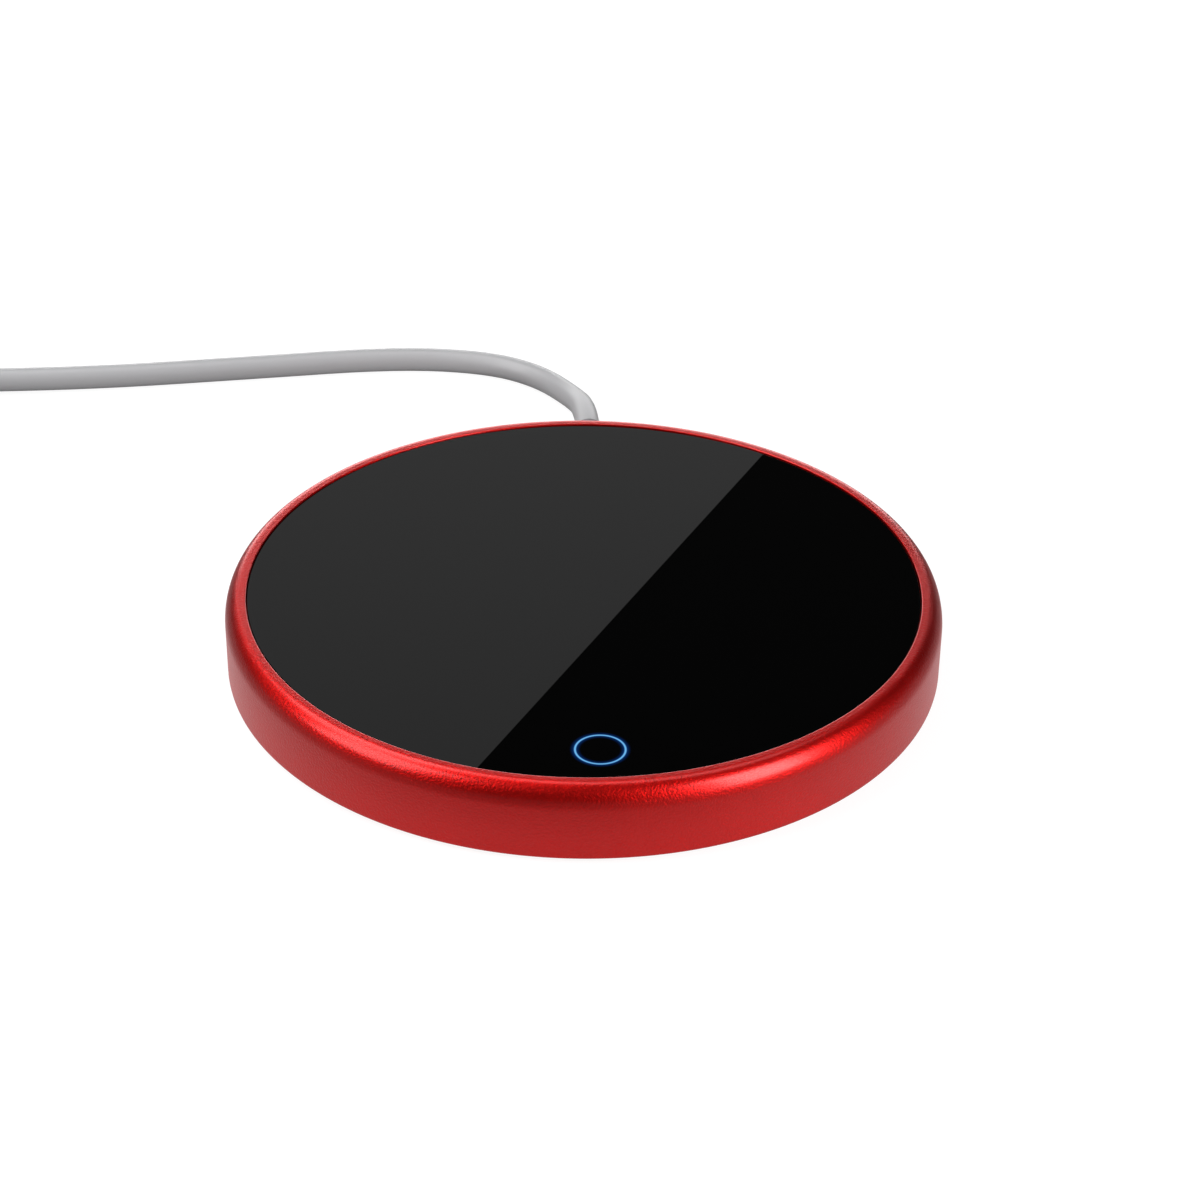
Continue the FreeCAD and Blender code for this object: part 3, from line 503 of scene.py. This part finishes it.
# %% [markdown]
# Between the glass and the inner frame lies the heating stack: grey silicone that bonds the glass to
# its spreader, an amber film with the heating track in it, and a white felt pad that keeps the heat
# in. Black foam seals the edge of the glass and surrounds the key. Fibres and cells could be grown
# from hair or displaced, but pieces that are shut inside are served by a plain finish. The felt and
# the foam only get a deeper bump than the rest of the stack.

# %% Heating stack
silicone_grey = finish("silicone_grey", colour(128, 128, 130), 0.6)
amber_film = finish("amber_film", colour(186, 112, 36), 0.25, grain=1, depth=0.004, spread=0.2)
white_felt = finish("white_felt", colour(232, 229, 222), 0.95, grain=0.6, depth=0.1, spread=0.08)
foam_black = finish("foam_black", colour(18, 18, 18), 0.9, grain=0.4, depth=0.06)
paint(silicone_grey, "thermal_bond")
paint(amber_film, "heater_film", "touch_flex")
paint(white_felt, "insulation_pad")
paint(foam_black, "glass_adhesive", "light_blocker", "touch_pad")

# %% [markdown]
# The two boards are glass fibre under a green lacquer, so they are glossy with a slow, uneven tone.
# Their parts keep the colours of the trade: black moulded chips, a dark grey ferrite coil, yellow
# capacitors, a brown base for the cut-out and a small glass bead that senses the heat. Tracks and
# solder could be painted on the lacquer, but inside a closed housing the tone alone tells the pieces
# apart, so each has one finish.

# %% Boards and their parts
green_board = finish("green_board", colour(22, 92, 50), 0.3, grain=1.5, depth=0.006, spread=0.2)
chip_epoxy = finish("chip_epoxy", colour(32, 32, 33), 0.6, grain=0.2, depth=0.008)
ferrite = finish("ferrite", colour(62, 62, 64), 0.5, grain=0.2)
capacitor_yellow = finish("capacitor_yellow", colour(206, 160, 52), 0.5, depth=0.004)
brown_phenolic = finish("brown_phenolic", colour(70, 38, 22), 0.5, spread=0.2)
bead_glass = finish("bead_glass", colour(160, 84, 50), 0.15, depth=0.001)
paint(green_board, "touch_board", "control_board")
paint(chip_epoxy, "controller_chip", "power_transistors", "chip_resistors")
paint(ferrite, "power_inductor")
paint(capacitor_yellow, "filter_capacitors")
paint(brown_phenolic, "thermostat_base")
paint(bead_glass, "thermistor_bead")

# %% [markdown]
# The housing and the glass are turned pieces, so both are made as a lathe makes them: an outline is
# spun round the upright axis. A subdivided cylinder would need loops of edges to hold its corners,
# and its wall would never be quite straight. Faces that lie level are left flat, because a smooth
# one that bends its shading towards its edge would bend the mirror image in the glass as well.

# %% Turned pieces
SPIN_STEPS = 288
SHARP_ANGLE = math.radians(30)
LEVEL = 0.9999
WELD_DISTANCE = 1e-7


def object_from(builder, name):
    mesh = bpy.data.meshes.new(name)
    builder.to_mesh(mesh)
    builder.free()
    mesh.set_sharp_from_angle(angle=SHARP_ANGLE)
    for polygon in mesh.polygons:
        polygon.use_smooth = abs(polygon.normal.z) < LEVEL
    piece = bpy.data.objects.new(name, mesh)
    bpy.context.scene.collection.objects.link(piece)
    return piece


def spun(name, outline, closed=True):
    """Spins an outline of radius and height pairs. One that starts and ends on the axis is open."""
    builder = bmesh.new()
    points = [builder.verts.new((radius, 0, height)) for radius, height in outline]
    edges = [builder.edges.new(pair) for pair in zip(points, points[1:])]
    if closed:
        edges.append(builder.edges.new((points[-1], points[0])))
    bmesh.ops.spin(
        builder, geom=points + edges, cent=(0, 0, 0), axis=(0, 0, 1),
        angle=2 * math.pi, steps=SPIN_STEPS, use_merge=True,
    )
    bmesh.ops.remove_doubles(builder, verts=builder.verts, dist=WELD_DISTANCE)
    bmesh.ops.recalc_face_normals(builder, faces=builder.faces)
    return object_from(builder, name)


def arc_points(centre, across, up, start, end, count):
    """Points of an elliptical arc, from one angle to another, in degrees."""
    points = []
    for step in range(count + 1):
        angle = math.radians(start + (end - start) * step / count)
        points.append((centre[0] + across * math.cos(angle), centre[1] + up * math.sin(angle)))
    return points


print("steps round a turned piece:", SPIN_STEPS)

# %% [markdown]
# The housing ring has a straight wall, a soft shoulder that is a quarter of an ellipse, a thin lip
# round the glass, a ledge that carries the glass and a seat for the cover. Radii and heights come
# from the frame where another piece sets them. Two points near the ends of the wall keep its shading
# straight, and small arcs at the foot and the lip stand for the edges that blasting leaves rounded.

# %% Housing sizes
ring_box_low, ring_box_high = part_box("housing_ring")
BODY_RADIUS = ring_box_high.x
SHOULDER_WIDTH = 2.5 * MM
SHOULDER_HEIGHT = 3.6 * MM
SHOULDER_STEPS = 20
LIP_LAND = 0.8 * MM
LIP_ROUND = 0.15 * MM
FOOT_ROUND = 0.4 * MM
EDGE_STEPS = 4
GLASS_LEDGE = 2.1 * MM
WALL = 3.0 * MM
COVER_SEAT = 1.0 * MM
RECESS_RADIUS = BODY_RADIUS - SHOULDER_WIDTH - LIP_LAND
INNER_RADIUS = BODY_RADIUS - WALL
print("recess radius:", round(RECESS_RADIUS, 5))

# %% [markdown]
# The outline is listed as a hand would follow it: up the wall from the foot, over the shoulder and
# the lip, down into the recess, and back along the inside. Its last point closes it at the foot.

# %% Housing ring
def housing_outline():
    top = ring_box_high.z
    bottom = ring_box_low.z
    ledge_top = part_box("glass_adhesive")[0].z
    frame_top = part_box("inner_frame")[1].z
    cover_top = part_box("base_cover")[1].z
    shoulder = (BODY_RADIUS - SHOULDER_WIDTH, top - SHOULDER_HEIGHT)
    lip = (RECESS_RADIUS + LIP_ROUND, top - LIP_ROUND)
    foot = (BODY_RADIUS - FOOT_ROUND, bottom + FOOT_ROUND)
    outline = arc_points(foot, FOOT_ROUND, FOOT_ROUND, -90, 0, EDGE_STEPS)
    outline += [(BODY_RADIUS, bottom + 2 * FOOT_ROUND), (BODY_RADIUS, shoulder[1] - FOOT_ROUND)]
    outline += arc_points(shoulder, SHOULDER_WIDTH, SHOULDER_HEIGHT, 0, 90, SHOULDER_STEPS)
    outline += arc_points(lip, LIP_ROUND, LIP_ROUND, 90, 180, EDGE_STEPS)
    outline += [(RECESS_RADIUS, ledge_top), (RECESS_RADIUS - GLASS_LEDGE, ledge_top)]
    outline += [(RECESS_RADIUS - GLASS_LEDGE, frame_top), (INNER_RADIUS, frame_top)]
    outline += [(INNER_RADIUS, cover_top), (INNER_RADIUS + COVER_SEAT, cover_top)]
    outline += [(INNER_RADIUS + COVER_SEAT, bottom)]
    return outline


housing = spun("housing", housing_outline())
housing.data.materials.append(anodised_red)
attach(housing, "warmer")
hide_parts("housing_ring")
print("housing faces:", len(housing.data.polygons))

# %% [markdown]
# The glass is a flat disc with a ground edge. The frame's own disc would do, but the mirror image
# shows every facet of its rim. It is spun from the same radius and height, with a rounding of a
# twentieth of a millimetre, because a wider one catches the light as a white line. Its underside
# reaches as far into the ink, so that no two faces lie in the same place.

# %% Glass top
GLASS_EDGE_ROUND = 0.05 * MM
GLASS_EDGE_STEPS = 5
INK_OVERLAP = 0.05 * MM


def glass_outline():
    radius = glass_high.x
    edge = (radius - GLASS_EDGE_ROUND, glass_high.z - GLASS_EDGE_ROUND)
    outline = [(0, glass_low.z - INK_OVERLAP), (radius, glass_low.z - INK_OVERLAP)]
    outline += arc_points(edge, GLASS_EDGE_ROUND, GLASS_EDGE_ROUND, 0, 90, GLASS_EDGE_STEPS)
    return outline + [(0, glass_high.z)]


glass_top = spun("glass_top", glass_outline(), closed=False)
glass_top.data.materials.append(black_glass)
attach(glass_top, "warmer")
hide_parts("glass_plate")
print("glass faces:", len(glass_top.data.polygons))

# %% [markdown]
# The object stands on a white sheet. A floor that is white by its own colour would have to be lit
# until the object is far too bright. So the floor is a mid grey that is lit normally and keeps the
# object's shadow, and its glow makes it white for the camera. Reflections see a dimmer sheet that
# ends a little way from the object, and what bounces on to matt surfaces is dimmer still. Far away,
# where the lamps don't reach, the glow for the camera rises to full white.

# %% Floor glow
FLOOR_CAMERA_GLOW = 0.90
FLOOR_MIRROR_GLOW = 0.56
FLOOR_BOUNCE_GLOW = 0.25
FAR_SHARE = 0.15
SHEET_NEAR = 60 * MM
SHEET_FAR = 78 * MM
WHITE_NEAR = 250 * MM
WHITE_FAR = 1000 * MM


def ramp_between(tree, value, near, far, at_near, at_far):
    """A number that goes from one value to another between two distances."""
    node = tree.nodes.new("ShaderNodeMapRange")
    node.inputs["From Min"].default_value = near
    node.inputs["From Max"].default_value = far
    node.inputs["To Min"].default_value = at_near
    node.inputs["To Max"].default_value = at_far
    tree.links.new(value, node.inputs["Value"])
    return node


def floor_glow(tree, path):
    place = tree.nodes.new("ShaderNodeTexCoord")
    away = tree.nodes.new("ShaderNodeVectorMath")
    away.operation = "LENGTH"
    tree.links.new(place.outputs["Object"], away.inputs[0])
    distance = away.outputs["Value"]
    far_glow = FLOOR_MIRROR_GLOW * FAR_SHARE
    sheet = ramp_between(tree, distance, SHEET_NEAR, SHEET_FAR, FLOOR_MIRROR_GLOW, far_glow)
    sheet.interpolation_type = "SMOOTHSTEP"
    white = ramp_between(tree, distance, WHITE_NEAR, WHITE_FAR, FLOOR_CAMERA_GLOW, 1.0)
    mirrored = math_node(tree, "MULTIPLY", path.outputs["Is Glossy Ray"], sheet.outputs["Result"])
    diffuse_ray = path.outputs["Is Diffuse Ray"]
    bounced = math_node(tree, "MULTIPLY_ADD", diffuse_ray, FLOOR_BOUNCE_GLOW, mirrored)
    looked_at = math_node(tree, "MAXIMUM", path.outputs["Is Camera Ray"], path.outputs["Is Transmission Ray"])
    return math_node(tree, "MULTIPLY_ADD", looked_at, white.outputs["Result"], bounced)


print("glow for the camera:", FLOOR_CAMERA_GLOW)

# %% [markdown]
# The feet and the cover are worth looking at too. A floor hides them, and taking it away would lose
# the shadow. So the floor is clear to a camera that looks at its back, and to nothing else.

# %% Floor
FLOOR_SIZE = 6.0
FLOOR_TONE = (0.18, 0.18, 0.18, 1)


def floor_material():
    material = bpy.data.materials.new("floor_white")
    material.use_nodes = True
    tree = material.node_tree
    tree.nodes.clear()
    path = tree.nodes.new("ShaderNodeLightPath")
    diffuse = tree.nodes.new("ShaderNodeBsdfDiffuse")
    diffuse.inputs["Color"].default_value = FLOOR_TONE
    light = tree.nodes.new("ShaderNodeEmission")
    tree.links.new(floor_glow(tree, path), light.inputs["Strength"])
    both = tree.nodes.new("ShaderNodeAddShader")
    tree.links.new(diffuse.outputs[0], both.inputs[0])
    tree.links.new(light.outputs[0], both.inputs[1])
    side = tree.nodes.new("ShaderNodeNewGeometry")
    clear = tree.nodes.new("ShaderNodeBsdfTransparent")
    choice = tree.nodes.new("ShaderNodeMixShader")
    below = math_node(tree, "MULTIPLY", path.outputs["Is Camera Ray"], side.outputs["Backfacing"])
    tree.links.new(below, choice.inputs["Fac"])
    tree.links.new(both.outputs[0], choice.inputs[1])
    tree.links.new(clear.outputs[0], choice.inputs[2])
    result = tree.nodes.new("ShaderNodeOutputMaterial")
    tree.links.new(choice.outputs[0], result.inputs["Surface"])
    return material


def add_floor():
    builder = bmesh.new()
    bmesh.ops.create_grid(builder, x_segments=1, y_segments=1, size=FLOOR_SIZE / 2)
    floor = object_from(builder, "floor")
    floor.data.materials.append(floor_material())
    return floor


floor = add_floor()
print(floor.name, "laid, metres wide:", FLOOR_SIZE)

# %% [markdown]
# The light is soft: a tall box on each side, one behind on the left and a wide one overhead. They
# draw the pale bands along the shoulder and the lip. A black glass would mirror them as white
# patches from some sides, so a photographer hangs black flags that keep them off the glass alone.
# Here a collection that excludes the glass from the lamps' receivers does the same.

# %% Soft boxes
flagged = bpy.data.collections.new("flagged_off")
flagged.objects.link(glass_top)
flagged.collection_objects[0].light_linking.link_state = "EXCLUDE"


def add_softbox(name, place, size, power):
    data = bpy.data.lights.new(name, "AREA")
    data.shape = "RECTANGLE"
    data.size = size[0]
    data.size_y = size[1]
    data.energy = power
    lamp = bpy.data.objects.new(name, data)
    lamp.location = place
    lamp.rotation_mode = "QUATERNION"
    lamp.rotation_quaternion = (glass_centre - place).to_track_quat("-Z", "Y")
    lamp.light_linking.receiver_collection = flagged
    bpy.context.scene.collection.objects.link(lamp)
    return lamp


left_box = add_softbox("left_box", toward(36, -74, 0.9), (0.50, 0.66), 5.4)
left_back_box = add_softbox("left_back_box", toward(56, -124, 0.9), (0.50, 0.40), 2.8)
right_box = add_softbox("right_box", toward(20, 50, 0.9), (0.38, 0.66), 8.6)
overhead_box = add_softbox("overhead_box", toward(72, 175, 1.1), (0.90, 0.45), 3.2)
print("boxes:", [lamp.name for lamp in (left_box, left_back_box, right_box, overhead_box)])

# %% [markdown]
# The room beyond the sheet is white for the camera and almost dark for everything else, because a
# bright room all round would wash out the bands that the boxes draw. The plain view transform shows
# a colour about as it is written.

# %% Room
ROOM_GLOW = 0.02


def add_room():
    room = bpy.data.worlds.new("studio")
    room.use_nodes = True
    tree = room.node_tree
    background = tree.nodes["Background"]
    background.inputs["Color"].default_value = (1, 1, 1, 1)
    path = tree.nodes.new("ShaderNodeLightPath")
    strength = math_node(tree, "MULTIPLY_ADD", path.outputs["Is Camera Ray"], 1 - ROOM_GLOW, ROOM_GLOW)
    tree.links.new(strength, background.inputs["Strength"])
    bpy.context.scene.world = room


add_room()
bpy.context.scene.view_settings.view_transform = "Standard"
print("room glow:", ROOM_GLOW)

# %% [markdown]
# A glossy black top shows whatever stands behind it. A grey card that ends in a slant draws the
# straight edge across the glass, and a low bright strip behind lights the far rim. A card could be
# a lamp, but a lamp would light the object as well. A glowing sheet that shows only in reflections
# leaves the rest of the light as it is.

# %% Card helper
def card_material(name, radiance):
    material = bpy.data.materials.new(name)
    material.use_nodes = True
    tree = material.node_tree
    tree.nodes.clear()
    light = tree.nodes.new("ShaderNodeEmission")
    light.inputs["Strength"].default_value = radiance
    result = tree.nodes.new("ShaderNodeOutputMaterial")
    tree.links.new(light.outputs[0], result.inputs["Surface"])
    return material


def add_card(name, corners, radiance):
    builder = bmesh.new()
    builder.faces.new([builder.verts.new(corner) for corner in corners])
    card = object_from(builder, name)
    card.data.materials.append(card_material(name, radiance))
    card.visible_camera = False
    card.visible_diffuse = False
    card.visible_shadow = False
    return card


print("helper:", add_card.__name__)

# %% [markdown]
# Where the slanting edge has to stand could be found by trial. It is quicker to follow the two ends
# of the edge from the camera down to the glass and up again to the card. Seen from the camera's
# mirror image under the glass these are straight lines, and each meets the card's plane in one point.
# The card goes on past both ends, and out to the left, further than the glass can mirror.

# %% Grey card
CARD_DISTANCE = 0.6
CARD_LEFT = -0.35
CARD_RADIANCE = 0.34
EDGE_NEAR = Vector((-17.4 * MM, -48.4 * MM, glass_centre.z))
EDGE_FAR = Vector((32.0 * MM, 40.9 * MM, glass_centre.z))
EDGE_SPARE = 0.35


def mirrored_on_card(place):
    """The point of the card's plane that the camera sees mirrored at a place on the glass."""
    image = camera.location.copy()
    image.z = 2 * glass_centre.z - image.z
    share = (CARD_DISTANCE - image.y) / (place.y - image.y)
    return image + (place - image) * share


edge_high = mirrored_on_card(EDGE_NEAR)
edge_low = mirrored_on_card(EDGE_FAR)
spare = (edge_high - edge_low) * EDGE_SPARE
card_top = edge_high + spare
card_bottom = edge_low - spare
left_top = Vector((CARD_LEFT, CARD_DISTANCE, card_top.z))
left_bottom = Vector((CARD_LEFT, CARD_DISTANCE, card_bottom.z))
grey_card = add_card("grey_card", [card_bottom, card_top, left_top, left_bottom], CARD_RADIANCE)
print(grey_card.name, "edge", [round(v, 3) for v in edge_low], "to", [round(v, 3) for v in edge_high])

# %% [markdown]
# The strip stands in the same plane as the card but lower, where the glass doesn't mirror it for the
# camera. The rounded far rim does, and shows it as the thin pale line that sets the rim off.

# %% Horizon strip
STRIP_HALF_WIDTH = 0.30
STRIP_BOTTOM = 0.02
STRIP_TOP = 0.16
STRIP_RADIANCE = 4.5


def strip_corners():
    sides = [(-1, STRIP_BOTTOM), (1, STRIP_BOTTOM), (1, STRIP_TOP), (-1, STRIP_TOP)]
    return [(side * STRIP_HALF_WIDTH, CARD_DISTANCE, height) for side, height in sides]


horizon_card = add_card("horizon_card", strip_corners(), STRIP_RADIANCE)
print(horizon_card.name, "heights:", STRIP_BOTTOM, STRIP_TOP)
